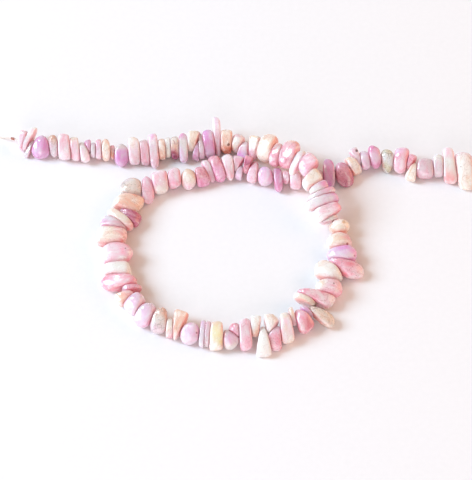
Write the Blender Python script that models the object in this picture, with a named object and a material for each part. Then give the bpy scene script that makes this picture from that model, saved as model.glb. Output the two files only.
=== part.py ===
"""A strand of tumbled kunzite chips on a thread, laid on a table in a loop that crosses itself.

The strand starts at its left knot, runs to the right, rises over its own second row, goes once
round the loop and comes back under itself to end at its right knot. Lengths are in millimetres
until a mesh or a curve is made, and metres from there.
"""
import math
import random
from collections import namedtuple

import bmesh
import bpy
from mathutils import Vector

MM = 0.001
THREAD_RADIUS = 0.2
HOLE_RADIUS = 0.55
GAP = 0.3
LEAST_WALL = 0.3
LEAST_THICKNESS = 0.35
WAIST = 0.84
BEVEL = 0.6
CHIP_CORNERS = (17, 62, 118, 163, 197, 242, 298, 343)
RUN_CORNERS = (22, 90, 158, 202, 270, 338)
CURVE_STEP = 0.25
THREAD_STEP = 5
TAIL_STEP = 1.2
KNOT_SWELL = 2.3
FIRST_CHIP_AT = 15.1
BOX_CENTRE = (14.0, -0.57)

# The thread's own route over the table: x to the right, y away, z up to its centre.
ROUTE = [
    (-81, 41.5, 0.3), (-73.5, 39.6, 0.4), (-70, 38.3, 1.5), (-66.5, 36.6, 2.5), (-58, 33.9, 2.55),
    (-46.5, 32.7, 2.55), (-35, 31.8, 2.55), (-25.5, 32.5, 2.55), (-15.5, 33.7, 2.55), (-5.5, 35.2, 2.55),
    (4, 34, 2.9), (9.5, 31.7, 4.3), (14.8, 28.3, 6.0), (18.7, 24.2, 7.2), (21.8, 19.8, 7.6),
    (24.2, 15.4, 7.0), (27.5, 8.8, 4.9), (30.3, 1.6, 2.7), (31.4, -7, 2.55), (28.8, -16, 2.55),
    (23.7, -25, 2.55), (17, -32.8, 2.55), (7, -35.4, 2.55), (-4, -36.6, 2.55), (-14, -34.4, 2.55),
    (-24, -30, 2.55), (-31.6, -22.3, 2.55), (-35.3, -12.5, 2.55), (-36.4, -1.5, 2.55), (-33, 11, 2.55),
    (-27, 18, 2.55), (-17.5, 21.2, 2.55), (-8, 24.2, 2.55), (1, 25.2, 2.55), (10.5, 22.3, 2.55),
    (20, 21.1, 2.3), (28.5, 23, 2.5), (36.5, 26.8, 2.55), (45.5, 28.7, 2.55), (54.5, 26.2, 2.55),
    (64, 25.9, 2.55), (74, 24.5, 2.55), (85, 20.3, 2.55), (96, 17.2, 2.55), (99.5, 16.8, 2.7),
    (103, 16.8, 1.2), (109, 18.5, 0.3),
]

# A form is how square the outline is, how far its edges are rounded over for its thickness, and
# how much wider its left end is than its right.
FORMS = {
    "block": (3.6, 0.5, 0.0),
    "slab": (2.8, 0.6, 0.0),
    "pebble": (2.3, 0.85, 0.0),
    "oval": (2.1, 1.0, 0.0),
    "wedge": (2.6, 0.65, 0.22),
    "drop": (2.2, 0.85, -0.28),
    "spike": (2.1, 0.9, -0.4),
}

# Colour as seen, and roughness.
FINISHES = {
    "blush": ("F4CDD3", 0.2),
    "pink": ("F0A9C0", 0.2),
    "rose": ("DE9BAA", 0.22),
    "ruby": ("C66A80", 0.22),
    "white": ("FBF0EE", 0.2),
    "cream": ("F6E1CE", 0.25),
    "peach": ("F1B98F", 0.28),
    "orchid": ("D78FCB", 0.12),
    "lilac": ("E0B5DD", 0.18),
    "mauve": ("C795B8", 0.15),
    "smoke": ("BDB59E", 0.1),
    "grey": ("DCCFC2", 0.25),
}

# Each chip in its order on the thread. left and right are how far its two ends reach from the
# thread, seen along the strand; roll is how far its left end is tipped up, and seam is how far
# the face that it shares with the next chip is turned forwards at the left. A chip with joins
# set is too small for a solid of its own, and is part of one solid with the chip before it.
Chip = namedtuple("Chip", "joins thickness left right width roll seam form finish")
FIRST_SEAM = -24
APART, JOINS = False, True
CHIPS = [
    Chip(APART, 2.3, 3.4, 3.5, 4.2, 28, -8, "wedge", "blush"),
    Chip(JOINS, 1.6, 4.9, 3.0, 4.0, 21, 4, "slab", "white"),
    Chip(JOINS, 1.3, 1.2, 5.5, 3.0, 30, 3, "pebble", "smoke"),
    Chip(APART, 4.8, 3.6, 4.3, 4.8, 25, -28, "pebble", "orchid"),
    Chip(APART, 2.8, 4.3, 3.3, 4.2, 30, -10, "oval", "grey"),
    Chip(JOINS, 3.8, 4.8, 3.9, 4.8, 18, -10, "block", "blush"),
    Chip(APART, 2.8, 4.3, 3.8, 4.4, 26, -12, "slab", "blush"),
    Chip(JOINS, 2.3, 2.6, 4.4, 4.4, 20, -30, "pebble", "white"),
    Chip(JOINS, 1.3, 3.5, 1.2, 3.4, 30, -5, "oval", "mauve"),
    Chip(JOINS, 1.5, 2.6, 2.4, 3.6, 28, -5, "pebble", "lilac"),
    Chip(JOINS, 1.8, 3.9, 2.7, 4.0, 26, -8, "slab", "pink"),
    Chip(JOINS, 2.7, 4.4, 3.2, 4.4, 16, -10, "oval", "cream"),
    Chip(JOINS, 1.3, 2.2, 2.4, 3.0, 28, -2, "pebble", "rose"),
    Chip(APART, 4.2, 2.8, 4.7, 4.6, 22, -3, "oval", "orchid"),
    Chip(APART, 3.6, 5.0, 4.4, 4.8, 26, -1, "slab", "blush"),
    Chip(APART, 2.7, 4.0, 4.8, 4.4, 24, -2, "slab", "pink"),
    Chip(JOINS, 3.0, 6.0, 5.8, 4.0, 18, 1, "oval", "white"),
    Chip(APART, 2.2, 3.7, 3.5, 4.2, 18, 3, "slab", "cream"),
    Chip(JOINS, 1.6, 4.0, 2.9, 3.8, 26, 3, "slab", "cream"),
    Chip(JOINS, 2.5, 4.1, 3.6, 4.6, 28, 4, "pebble", "ruby"),
    Chip(JOINS, 2.8, 4.6, 5.0, 4.4, 18, 6, "oval", "lilac"),
    Chip(APART, 1.7, 5.2, 1.6, 4.2, 28, 24, "slab", "cream"),
    Chip(JOINS, 1.7, 1.6, 5.0, 4.2, 22, 9, "pebble", "mauve"),
    Chip(JOINS, 1.4, 4.2, 4.6, 3.6, 16, 2, "slab", "blush"),
    Chip(APART, 3.5, 4.7, 4.8, 4.8, 26, -3, "slab", "orchid"),
    Chip(APART, 2.0, 8.4, 4.4, 3.4, 30, -2, "spike", "mauve"),
    Chip(APART, 3.4, 4.6, 3.2, 4.6, 26, -2, "block", "peach"),
    Chip(APART, 3.2, 3.5, 2.8, 4.6, 24, -14, "pebble", "blush"),
    Chip(JOINS, 2.2, 1.3, 5.0, 4.0, 22, -10, "oval", "pink"),
    Chip(JOINS, 3.5, 3.9, 4.3, 4.4, 17, -2, "wedge", "cream"),
    Chip(APART, 5.2, 5.3, 4.5, 5.0, 22, -6, "slab", "cream"),
    Chip(APART, 2.8, 2.9, 4.6, 4.2, 14, -18, "slab", "rose"),
    Chip(JOINS, 5.6, 5.3, 4.3, 5.0, 12, -22, "pebble", "rose"),
    Chip(APART, 2.7, 4.3, 5.2, 3.8, 16, -20, "oval", "white"),
    Chip(JOINS, 4.9, 5.2, 2.2, 4.6, 12, -19, "block", "blush"),
    Chip(APART, 4.2, 3.0, 4.6, 4.6, 8, -8, "block", "cream"),
    Chip(APART, 2.4, 3.4, 3.3, 3.8, 12, 4, "slab", "white"),
    Chip(JOINS, 1.7, 4.6, 4.3, 3.6, 10, 7, "slab", "pink"),
    Chip(JOINS, 3.6, 4.4, 6.2, 4.4, 8, 4, "wedge", "lilac"),
    Chip(APART, 4.0, 4.3, 5.0, 4.6, 9, -12, "slab", "cream"),
    Chip(JOINS, 1.2, 1.6, 3.6, 3.2, 8, -5, "slab", "pink"),
    Chip(JOINS, 4.3, 4.0, 2.4, 4.6, 5, 3, "oval", "white"),
    Chip(APART, 5.4, 3.6, 4.7, 5.0, -4, -3, "pebble", "peach"),
    Chip(APART, 4.4, 4.8, 4.6, 4.4, 6, -4, "slab", "lilac"),
    Chip(APART, 3.4, 8.2, 3.2, 4.2, -8, 20, "slab", "rose"),
    Chip(APART, 4.4, 3.0, 6.9, 4.8, -4, -16, "oval", "white"),
    Chip(APART, 6.0, 3.9, 4.0, 4.8, -12, -22, "pebble", "peach"),
    Chip(APART, 3.8, 4.6, 7.2, 4.4, -9, -9, "slab", "rose"),
    Chip(APART, 1.7, 1.2, 6.2, 3.6, -14, -15, "oval", "cream"),
    Chip(APART, 1.9, 7.8, 1.2, 3.4, -8, 10, "spike", "grey"),
    Chip(APART, 1.5, 1.2, 3.7, 3.2, -16, 6, "pebble", "mauve"),
    Chip(JOINS, 5.0, 4.8, 2.9, 5.0, -18, 20, "oval", "rose"),
    Chip(APART, 1.3, 1.2, 5.4, 3.4, -20, 8, "slab", "blush"),
    Chip(JOINS, 3.6, 4.9, 4.5, 4.6, -17, 8, "slab", "blush"),
    Chip(JOINS, 1.9, 6.3, 1.4, 4.0, -22, 20, "slab", "rose"),
    Chip(JOINS, 2.2, 1.3, 4.9, 4.0, -24, -8, "pebble", "cream"),
    Chip(APART, 2.1, 8.6, 1.3, 4.2, -16, 4, "slab", "white"),
    Chip(APART, 1.5, 1.4, 5.4, 3.8, -24, 5, "slab", "cream"),
    Chip(JOINS, 3.6, 5.3, 5.0, 4.4, -18, 4, "slab", "pink"),
    Chip(APART, 1.7, 1.3, 4.0, 3.8, -20, -14, "pebble", "rose"),
    Chip(JOINS, 2.9, 4.4, 1.8, 4.4, -22, -3, "oval", "lilac"),
    Chip(APART, 4.0, 5.0, 4.3, 5.0, -20, -5, "block", "cream"),
    Chip(JOINS, 1.5, 4.3, 3.9, 4.0, -24, -8, "slab", "pink"),
    Chip(JOINS, 1.7, 4.6, 4.0, 4.0, -20, -9, "slab", "lilac"),
    Chip(APART, 5.2, 4.6, 2.5, 5.0, -22, -10, "pebble", "lilac"),
    Chip(APART, 2.8, 4.8, 5.2, 4.4, -16, -13, "slab", "peach"),
    Chip(JOINS, 2.0, 4.6, 2.0, 4.0, -22, -14, "slab", "cream"),
    Chip(APART, 4.4, 4.5, 4.4, 4.6, -20, -12, "oval", "grey"),
    Chip(JOINS, 4.8, 5.1, 3.5, 4.6, -14, -9, "pebble", "lilac"),
    Chip(APART, 5.6, 3.5, 3.3, 4.8, -16, -6, "block", "lilac"),
    Chip(APART, 1.9, 3.9, 1.8, 4.0, -12, 18, "block", "peach"),
    Chip(JOINS, 1.5, 1.8, 4.2, 4.0, -8, 18, "slab", "ruby"),
    Chip(APART, 4.3, 5.2, 4.9, 4.4, -10, 22, "wedge", "pink"),
    Chip(APART, 5.4, 4.1, 4.4, 4.6, -5, 5, "block", "white"),
    Chip(APART, 7.0, 3.6, 5.3, 5.0, -5, -2, "pebble", "blush"),
    Chip(APART, 6.0, 4.6, 3.4, 4.8, 3, -4, "block", "cream"),
    Chip(APART, 2.4, 5.3, 1.4, 4.2, 6, 34, "pebble", "lilac"),
    Chip(JOINS, 2.3, 4.5, 4.9, 4.2, 4, 34, "slab", "white"),
    Chip(APART, 2.2, 1.2, 6.0, 4.2, 8, -6, "pebble", "ruby"),
    Chip(APART, 5.6, 3.9, 4.3, 5.0, 12, -34, "block", "peach"),
    Chip(APART, 4.5, 4.7, 1.6, 4.6, 14, -6, "pebble", "grey"),
    Chip(JOINS, 2.4, 3.4, 5.0, 3.8, 16, 0, "oval", "pink"),
    Chip(APART, 5.0, 4.0, 3.5, 4.8, 22, 7, "block", "blush"),
    Chip(JOINS, 4.1, 4.1, 2.8, 4.6, 16, 11, "slab", "pink"),
    Chip(JOINS, 4.6, 2.7, 4.4, 4.8, 22, 8, "oval", "cream"),
    Chip(APART, 3.2, 2.4, 4.5, 4.2, 20, -4, "wedge", "rose"),
    Chip(JOINS, 2.1, 3.3, 3.6, 3.8, 26, -10, "slab", "pink"),
    Chip(JOINS, 3.5, 4.4, 3.9, 4.4, 22, -10, "slab", "rose"),
    Chip(APART, 3.6, 4.8, 4.0, 4.6, 24, -5, "oval", "white"),
    Chip(JOINS, 1.7, 4.4, 1.4, 3.6, 18, 8, "slab", "pink"),
    Chip(JOINS, 1.4, 1.3, 3.6, 3.6, 24, -4, "pebble", "lilac"),
    Chip(JOINS, 1.7, 5.0, 1.3, 3.8, 26, 4, "slab", "ruby"),
    Chip(APART, 2.8, 3.8, 3.8, 4.2, 19, -14, "drop", "pink"),
    Chip(JOINS, 4.9, 3.0, 3.5, 4.6, 24, -18, "pebble", "orchid"),
    Chip(APART, 2.8, 3.3, 4.7, 4.0, 20, -14, "drop", "mauve"),
    Chip(APART, 2.2, 3.0, 1.6, 3.6, 16, -10, "pebble", "peach"),
    Chip(JOINS, 3.8, 3.0, 3.3, 4.2, 18, -4, "slab", "blush"),
    Chip(JOINS, 2.7, 2.2, 2.4, 3.6, 10, 0, "pebble", "pink"),
    Chip(JOINS, 2.3, 2.0, 2.3, 3.4, 8, 6, "slab", "blush"),
    Chip(JOINS, 2.3, 2.4, 2.2, 3.6, 10, 14, "pebble", "rose"),
    Chip(APART, 3.8, 5.2, 4.4, 4.0, 20, 20, "oval", "mauve"),
    Chip(APART, 5.0, 3.0, 6.0, 4.8, 22, -14, "oval", "ruby"),
    Chip(APART, 2.0, 2.9, 2.8, 4.0, 22, -26, "block", "cream"),
    Chip(JOINS, 1.8, 5.2, 1.3, 3.4, 26, -4, "oval", "lilac"),
    Chip(JOINS, 2.8, 3.8, 2.4, 4.2, 17, 1, "pebble", "lilac"),
    Chip(JOINS, 3.5, 5.0, 2.7, 4.4, 26, -6, "oval", "mauve"),
    Chip(APART, 3.8, 3.6, 4.2, 4.4, 26, -10, "oval", "smoke"),
    Chip(JOINS, 4.6, 5.0, 3.3, 4.8, 19, -4, "pebble", "pink"),
    Chip(APART, 1.8, 3.8, 1.4, 3.6, 26, 22, "slab", "rose"),
    Chip(JOINS, 1.7, 1.3, 5.0, 3.8, 20, 0, "slab", "cream"),
    Chip(JOINS, 4.9, 2.8, 3.9, 4.6, 16, 0, "block", "smoke"),
    Chip(JOINS, 3.0, 4.1, 3.5, 4.2, 26, -4, "slab", "lilac"),
    Chip(APART, 3.9, 6.5, 5.5, 4.4, 16, -11, "slab", "white"),
    Chip(JOINS, 4.2, 5.0, 5.8, 4.6, 18, -14, "wedge", "cream"),
    Chip(JOINS, 1.9, 4.0, 1.4, 3.8, 24, -6, "pebble", "ruby"),
    Chip(APART, 2.6, 3.6, 3.8, 4.2, 20, -2, "slab", "cream"),
    Chip(JOINS, 3.4, 4.4, 3.0, 4.6, 14, 4, "pebble", "rose"),
    Chip(JOINS, 2.2, 3.2, 4.2, 4.0, 24, 6, "oval", "mauve"),
    Chip(JOINS, 3.8, 4.6, 4.0, 4.8, 18, 0, "block", "blush"),
    Chip(JOINS, 2.0, 3.4, 3.2, 4.0, 26, -6, "slab", "peach"),
    Chip(JOINS, 3.0, 4.2, 4.4, 4.4, 16, -2, "pebble", "lilac"),
    Chip(JOINS, 2.6, 3.0, 3.6, 4.0, 22, 4, "slab", "white"),
    Chip(JOINS, 2.4, 3.4, 2.8, 4.0, 20, 8, "wedge", "blush"),
]

Frame = namedtuple("Frame", "centre along across upright")
Seam = namedtuple("Seam", "point normal")
Member = namedtuple("Member", "chip number frame before after")


def smooth_path(points):
    """Points CURVE_STEP apart on a centripetal Catmull-Rom curve through the route."""
    known = [Vector(point) for point in points]
    known = [2 * known[0] - known[1], *known, 2 * known[-1] - known[-2]]
    dense = []
    for before, start, end, after in zip(known, known[1:], known[2:], known[3:]):
        knot_a = math.sqrt((start - before).length)
        knot_b = math.sqrt((end - start).length)
        knot_c = math.sqrt((after - end).length)
        start_slope = end - start + knot_b * (
            (start - before) / knot_a - (end - before) / (knot_a + knot_b)
        )
        end_slope = end - start + knot_b * (
            (after - end) / knot_c - (after - start) / (knot_b + knot_c)
        )
        steps = max(2, round((end - start).length / CURVE_STEP))
        for step in range(steps):
            t = step / steps
            dense.append(
                (2 * t**3 - 3 * t**2 + 1) * start
                + (t**3 - 2 * t**2 + t) * start_slope
                + (3 * t**2 - 2 * t**3) * end
                + (t**3 - t**2) * end_slope
            )
    dense.append(known[-2])
    shift = Vector((*BOX_CENTRE, 0))
    return [point - shift for point in dense]


def lengths_of(path):
    """How far along the path each of its points lies."""
    along = [0.0]
    for a, b in zip(path, path[1:]):
        along.append(along[-1] + (b - a).length)
    return along


PATH = smooth_path(ROUTE)
ALONG = lengths_of(PATH)


def place(distance):
    """The thread's centre at a distance from its left end."""
    distance = min(max(distance, 0), ALONG[-1])
    low, high = 0, len(ALONG) - 1
    while high - low > 1:
        middle = (low + high) // 2
        if ALONG[middle] <= distance:
            low = middle
        else:
            high = middle
    share = (distance - ALONG[low]) / (ALONG[high] - ALONG[low])
    return PATH[low].lerp(PATH[high], share)


def heading(distance):
    return (place(distance + 0.4) - place(distance - 0.4)).normalized()


def seam_at(distance, lean):
    """The plane between two chips, turned about the upright so that its left side leads by lean degrees."""
    forwards = heading(distance)
    left = Vector((0, 0, 1)).cross(forwards).normalized()
    turn = math.radians(lean)
    return Seam(place(distance), (math.cos(turn) * forwards - math.sin(turn) * left).normalized())


def chip_frame(distance, roll):
    """A chip's own directions: along the thread, across it to the left and tipped by roll, and upright to both."""
    forwards = heading(distance)
    left = Vector((0, 0, 1)).cross(forwards).normalized()
    up = forwards.cross(left)
    tip = math.radians(roll)
    across = math.cos(tip) * left + math.sin(tip) * up
    return Frame(place(distance), forwards, across, forwards.cross(across))


def outline(chip, number, corners, inset=0.0):
    """The chip's edge as seen along the thread, with the hole at zero."""
    squareness, _, taper = FORMS[chip.form]
    chance = random.Random(number)
    swell = chance.uniform(0.02, 0.07)
    turn = chance.uniform(0, math.tau)
    half_length = (chip.left + chip.right) / 2 - inset
    half_width = chip.width / 2 - inset
    middle = (chip.left - chip.right) / 2
    edge = []
    for corner in corners:
        angle = math.radians(corner)
        c, s = math.cos(angle), math.sin(angle)
        x = math.copysign(abs(c) ** (2 / squareness), c)
        y = math.copysign(abs(s) ** (2 / squareness), s)
        y *= (1 + taper * x) * (1 + swell * math.cos(3 * angle + turn))
        edge.append((middle + half_length * x, half_width * y))
    return edge


def rounding(chip):
    """How far the flat face stands in from the rim, with a wall left round the hole."""
    _, edge, taper = FORMS[chip.form]
    narrow = chip.width / 2 * (1 - abs(taper) / 2)
    room = min(chip.left, chip.right, narrow) - HOLE_RADIUS - LEAST_WALL
    return BEVEL * max(0.05, min(edge * chip.thickness / 2, room))


def brow(chip):
    """How near to its two faces, at 0 to 1, the chip still has its full outline."""
    return 1 - BEVEL * FORMS[chip.form][1]


def between(frame, before, after, x, y, share):
    """The point over (x, y), from share -1 on the plane before the chip to 1 on the plane after it."""
    for _ in range(60):
        base = frame.centre + x * frame.across + y * frame.upright
        start = (before.point - base).dot(before.normal) / frame.along.dot(before.normal)
        end = (after.point - base).dot(after.normal) / frame.along.dot(after.normal)
        start, end = start + GAP / 2, end - GAP / 2
        if end - start >= LEAST_THICKNESS:
            break
        x, y = 0.96 * x, 0.96 * y
    return base + frame.along * ((start + end) / 2 + share * (end - start) / 2)


def hole(corners):
    turns = [math.radians(corner) for corner in corners]
    return [(HOLE_RADIUS * math.cos(turn), HOLE_RADIUS * math.sin(turn)) for turn in turns]


def ring_on(member, edge, share):
    return [between(member.frame, member.before, member.after, x, y, share) for x, y in edge]


def rim_rings(member, corners):
    """The two rings between which a chip has its full outline."""
    rim = outline(member.chip, member.number, corners)
    share = brow(member.chip)
    return [ring_on(member, rim, -share), ring_on(member, rim, share)]


def face_ring(member, corners, share):
    """The edge of one of a chip's two flat faces."""
    return ring_on(member, outline(member.chip, member.number, corners, rounding(member.chip)), share)


def waist_ring(member, following):
    """The groove between two chips of a run, inside the edges of both."""
    ring = []
    rims = (outline(each.chip, each.number, RUN_CORNERS) for each in (member, following))
    for corner, (x_a, y_a), (x_b, y_b) in zip(RUN_CORNERS, *rims):
        at_end = corner % 180 != 90
        x = WAIST * min(x_a, x_b, key=abs) if at_end else (x_a + x_b) / 2
        ring.append((x, WAIST * min(y_a, y_b, key=abs)))
    return ring_on(member, ring, 1)


def rings_over(members):
    """Rings of points over the outside of a chip or a tight run of small ones, then back down its hole."""
    corners = CHIP_CORNERS if len(members) == 1 else RUN_CORNERS
    first, last = members[0], members[-1]
    rings = [ring_on(first, hole(corners), -1), face_ring(first, corners, -1)]
    for member, following in zip(members, members[1:]):
        rings += rim_rings(member, corners)
        rings.append(waist_ring(member, following))
    rings += rim_rings(last, corners)
    rings += [face_ring(last, corners, 1), ring_on(last, hole(corners), 1)]
    for member in reversed(members[:-1]):
        rings.append(ring_on(member, hole(corners), 1))
    return rings


def solid_from(rings, name, material, parts):
    """One closed solid through the rings, joined last to first down the hole, and cut off flat at the table."""
    shape = bmesh.new()
    rows = [[shape.verts.new(point * MM) for point in ring] for ring in rings]
    sides = len(rows[0])
    for row, following in zip(rows, rows[1:] + rows[:1]):
        for side in range(sides):
            onward = (side + 1) % sides
            shape.faces.new((row[side], row[onward], following[onward], following[side]))
    if min(vertex.co.z for vertex in shape.verts) < 0:
        everything = shape.verts[:] + shape.edges[:] + shape.faces[:]
        cut = bmesh.ops.bisect_plane(
            shape, geom=everything, dist=1e-7, plane_co=(0, 0, 0), plane_no=(0, 0, -1), clear_outer=True
        )
        rim = [item for item in cut["geom_cut"] if isinstance(item, bmesh.types.BMEdge)]
        bmesh.ops.holes_fill(shape, edges=rim, sides=0)
    bmesh.ops.recalc_face_normals(shape, faces=shape.faces)
    mesh = bpy.data.meshes.new(name)
    shape.to_mesh(mesh)
    shape.free()
    mesh.shade_smooth()
    mesh.set_sharp_from_angle(angle=math.radians(50))
    mesh.materials.append(material)
    piece = bpy.data.objects.new(name, mesh)
    parts.objects.link(piece)
    return piece


def linear(hex_colour):
    parts = [int(hex_colour[k : k + 2], 16) / 255 for k in (0, 2, 4)]
    return [part / 12.92 if part <= 0.04045 else ((part + 0.055) / 1.055) ** 2.4 for part in parts]


def stone(finish):
    """The polished stone of one colour, made once."""
    name = f"kunzite_{finish}"
    if name in bpy.data.materials:
        return bpy.data.materials[name]
    hex_colour, roughness = FINISHES[finish]
    material = bpy.data.materials.new(name)
    material.use_nodes = True
    shader = material.node_tree.nodes["Principled BSDF"]
    shader.inputs["Base Color"].default_value = (*linear(hex_colour), 1)
    shader.inputs["Roughness"].default_value = roughness
    return material


def string_chips(parts):
    """Every chip in its order, each between its two seams, and a solid for each chip or run of small ones."""
    at = FIRST_CHIP_AT
    before = seam_at(at, FIRST_SEAM)
    groups = []
    for number, chip in enumerate(CHIPS, 1):
        after = seam_at(at + chip.thickness, chip.seam)
        frame = chip_frame(at + chip.thickness / 2, chip.roll)
        member = Member(chip, number, frame, before, after)
        if chip.joins:
            groups[-1].append(member)
        else:
            groups.append([member])
        at += chip.thickness
        before = after
    for members in groups:
        first = members[0]
        name = f"chip_{first.number:03d}_{first.chip.finish}"
        if len(members) > 1:
            name = f"chips_{first.number:03d}_to_{members[-1].number:03d}"
        solid_from(rings_over(members), name, stone(first.chip.finish), parts)
    return at


def string_thread(last_chip_at, parts):
    """The thread from one trimmed end to the other, swollen where it is knotted outside the chips."""
    knots = (FIRST_CHIP_AT - 2.2, last_chip_at + 2.2)
    stops = [knots[0] - TAIL_STEP, knots[0], knots[0] + TAIL_STEP]
    stops += [knots[1] - TAIL_STEP, knots[1], knots[1] + TAIL_STEP]
    inner = last_chip_at - FIRST_CHIP_AT
    spans = round(inner / THREAD_STEP)
    stops += [FIRST_CHIP_AT + inner * k / spans for k in range(spans + 1)]
    for start, end in ((0, stops[0]), (stops[5], ALONG[-1])):
        steps = round((end - start) / (2 * TAIL_STEP))
        stops += [start + (end - start) * k / steps for k in range(steps + 1)]
    stops = sorted(set(round(stop, 3) for stop in stops))
    curve = bpy.data.curves.new("thread", "CURVE")
    curve.dimensions = "3D"
    curve.bevel_depth = THREAD_RADIUS * MM
    curve.bevel_resolution = 2
    curve.use_fill_caps = True
    spline = curve.splines.new("POLY")
    spline.points.add(len(stops) - 1)
    for point, stop in zip(spline.points, stops):
        point.co = (*(place(stop) * MM), 1)
        point.radius = KNOT_SWELL if any(abs(stop - knot) < 0.01 for knot in knots) else 1
    cotton = bpy.data.materials.new("cotton_thread")
    cotton.use_nodes = True
    shader = cotton.node_tree.nodes["Principled BSDF"]
    shader.inputs["Base Color"].default_value = (*linear("EFE3D6"), 1)
    shader.inputs["Roughness"].default_value = 0.85
    curve.materials.append(cotton)
    parts.objects.link(bpy.data.objects.new("thread", curve))


for leftover in list(bpy.data.objects):
    bpy.data.objects.remove(leftover)
strand = bpy.data.collections.new("kunzite_chip_strand")
bpy.context.scene.collection.children.link(strand)
string_thread(string_chips(strand), strand)
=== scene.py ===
"""A strand of tumbled kunzite chips on a thread, dressed for the picture.

Lengths are in millimetres until a mesh or a curve is made, and metres from there.
"""

import math
import random
from collections import namedtuple

import bpy
import numpy as np
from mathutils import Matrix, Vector


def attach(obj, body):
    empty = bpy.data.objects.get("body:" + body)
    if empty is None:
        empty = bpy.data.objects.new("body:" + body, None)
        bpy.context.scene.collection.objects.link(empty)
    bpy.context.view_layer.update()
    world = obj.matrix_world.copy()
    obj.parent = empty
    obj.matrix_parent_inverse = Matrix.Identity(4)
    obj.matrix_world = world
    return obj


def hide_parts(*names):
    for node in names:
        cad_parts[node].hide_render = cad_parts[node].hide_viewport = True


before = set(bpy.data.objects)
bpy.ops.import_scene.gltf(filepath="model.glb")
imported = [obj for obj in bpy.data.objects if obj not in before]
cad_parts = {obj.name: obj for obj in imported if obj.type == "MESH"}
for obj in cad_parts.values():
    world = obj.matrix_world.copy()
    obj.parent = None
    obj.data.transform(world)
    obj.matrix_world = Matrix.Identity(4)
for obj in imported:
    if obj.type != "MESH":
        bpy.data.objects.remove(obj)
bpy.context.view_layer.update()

# The camera looks down at the strand from in front, at the middle of the floor that the picture
# shows. The picture is 141.6 mm wide there.
MM = 0.001
BOX_CENTRE = (14.0, -0.57)
ELEVATION = math.radians(53)
DISTANCE = 700
PICTURE_WIDTH = 141.6
SENSOR_WIDTH = 36
camera = bpy.data.objects.new("camera", bpy.data.cameras.new("camera"))
camera.data.sensor_fit = "HORIZONTAL"
camera.data.sensor_width = SENSOR_WIDTH
camera.data.lens = SENSOR_WIDTH * DISTANCE / PICTURE_WIDTH
camera.data.clip_start = 50 * MM
camera.rotation_euler = (math.pi / 2 - ELEVATION, 0, 0)
camera.location = Vector((
    -BOX_CENTRE[0],
    -BOX_CENTRE[1] - DISTANCE * math.cos(ELEVATION),
    DISTANCE * math.sin(ELEVATION),
)) * MM
bpy.context.scene.collection.objects.link(camera)
bpy.context.scene.camera = camera

# The thread's own route over the floor: x to the right, y away, z up to its centre. It enters at
# the left, crosses over its own second row, goes round the loop and leaves at the right.
ROUTE = [
    (-81, 41.5, 0.3), (-73.5, 39.6, 0.4), (-70, 38.3, 1.5), (-66.5, 36.6, 2.5), (-58, 33.9, 2.55),
    (-46.5, 32.7, 2.55), (-35, 31.8, 2.55), (-25.5, 32.5, 2.55), (-15.5, 33.7, 2.55),
    (-5.5, 35.2, 2.55), (4, 34, 2.9), (9.5, 31.7, 4.3), (14.8, 28.3, 6.0), (18.7, 24.2, 7.2),
    (21.8, 19.8, 7.6), (24.2, 15.4, 7.0), (27.5, 8.8, 4.9), (30.3, 1.6, 2.7), (31.4, -7, 2.55),
    (28.8, -16, 2.55), (23.7, -25, 2.55), (17, -32.8, 2.55), (7, -35.4, 2.55), (-4, -36.6, 2.55),
    (-14, -34.4, 2.55), (-24, -30, 2.55), (-31.6, -22.3, 2.55), (-35.3, -12.5, 2.55),
    (-36.4, -1.5, 2.55), (-33, 11, 2.55), (-27, 18, 2.55), (-17.5, 21.2, 2.55), (-8, 24.2, 2.55),
    (1, 25.2, 2.55), (10.5, 22.3, 2.55), (20, 21.1, 2.3), (28.5, 23, 2.5), (36.5, 26.8, 2.55),
    (45.5, 28.7, 2.55), (54.5, 26.2, 2.55), (64, 25.9, 2.55), (74, 24.5, 2.55), (85, 20.3, 2.55),
    (96, 17.2, 2.55), (99.5, 16.8, 2.7), (103, 16.8, 1.2), (109, 18.5, 0.3),
]
CURVE_STEP = 0.25
HEADING_REACH = 0.4
FIRST_CHIP_AT = 15.1


def smooth_path(points):
    """Points CURVE_STEP apart on a centripetal Catmull-Rom curve through the route."""
    known = [Vector(point) for point in points]
    known = [2 * known[0] - known[1], *known, 2 * known[-1] - known[-2]]
    dense = []
    for before, start, end, after in zip(known, known[1:], known[2:], known[3:]):
        knot_a = math.sqrt((start - before).length)
        knot_b = math.sqrt((end - start).length)
        knot_c = math.sqrt((after - end).length)
        start_slope = end - start + knot_b * (
            (start - before) / knot_a - (end - before) / (knot_a + knot_b)
        )
        end_slope = end - start + knot_b * (
            (after - end) / knot_c - (after - start) / (knot_b + knot_c)
        )
        steps = max(2, round((end - start).length / CURVE_STEP))
        for step in range(steps):
            t = step / steps
            dense.append(
                (2 * t**3 - 3 * t**2 + 1) * start
                + (t**3 - 2 * t**2 + t) * start_slope
                + (3 * t**2 - 2 * t**3) * end
                + (t**3 - t**2) * end_slope
            )
    dense.append(known[-2])
    shift = Vector((*BOX_CENTRE, 0))
    return [point - shift for point in dense]


PATH = smooth_path(ROUTE)
ALONG = [0.0]
for earlier, later in zip(PATH, PATH[1:]):
    ALONG.append(ALONG[-1] + (later - earlier).length)


def place(distance):
    """The thread's centre at a distance from its left end."""
    distance = min(max(distance, 0), ALONG[-1])
    nearest = min(max(int(np.searchsorted(ALONG, distance)), 1), len(ALONG) - 1)
    share = (distance - ALONG[nearest - 1]) / (ALONG[nearest] - ALONG[nearest - 1])
    return PATH[nearest - 1].lerp(PATH[nearest], share)


def heading(distance):
    """The way that the thread runs there."""
    return (place(distance + HEADING_REACH) - place(distance - HEADING_REACH)).normalized()


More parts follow.
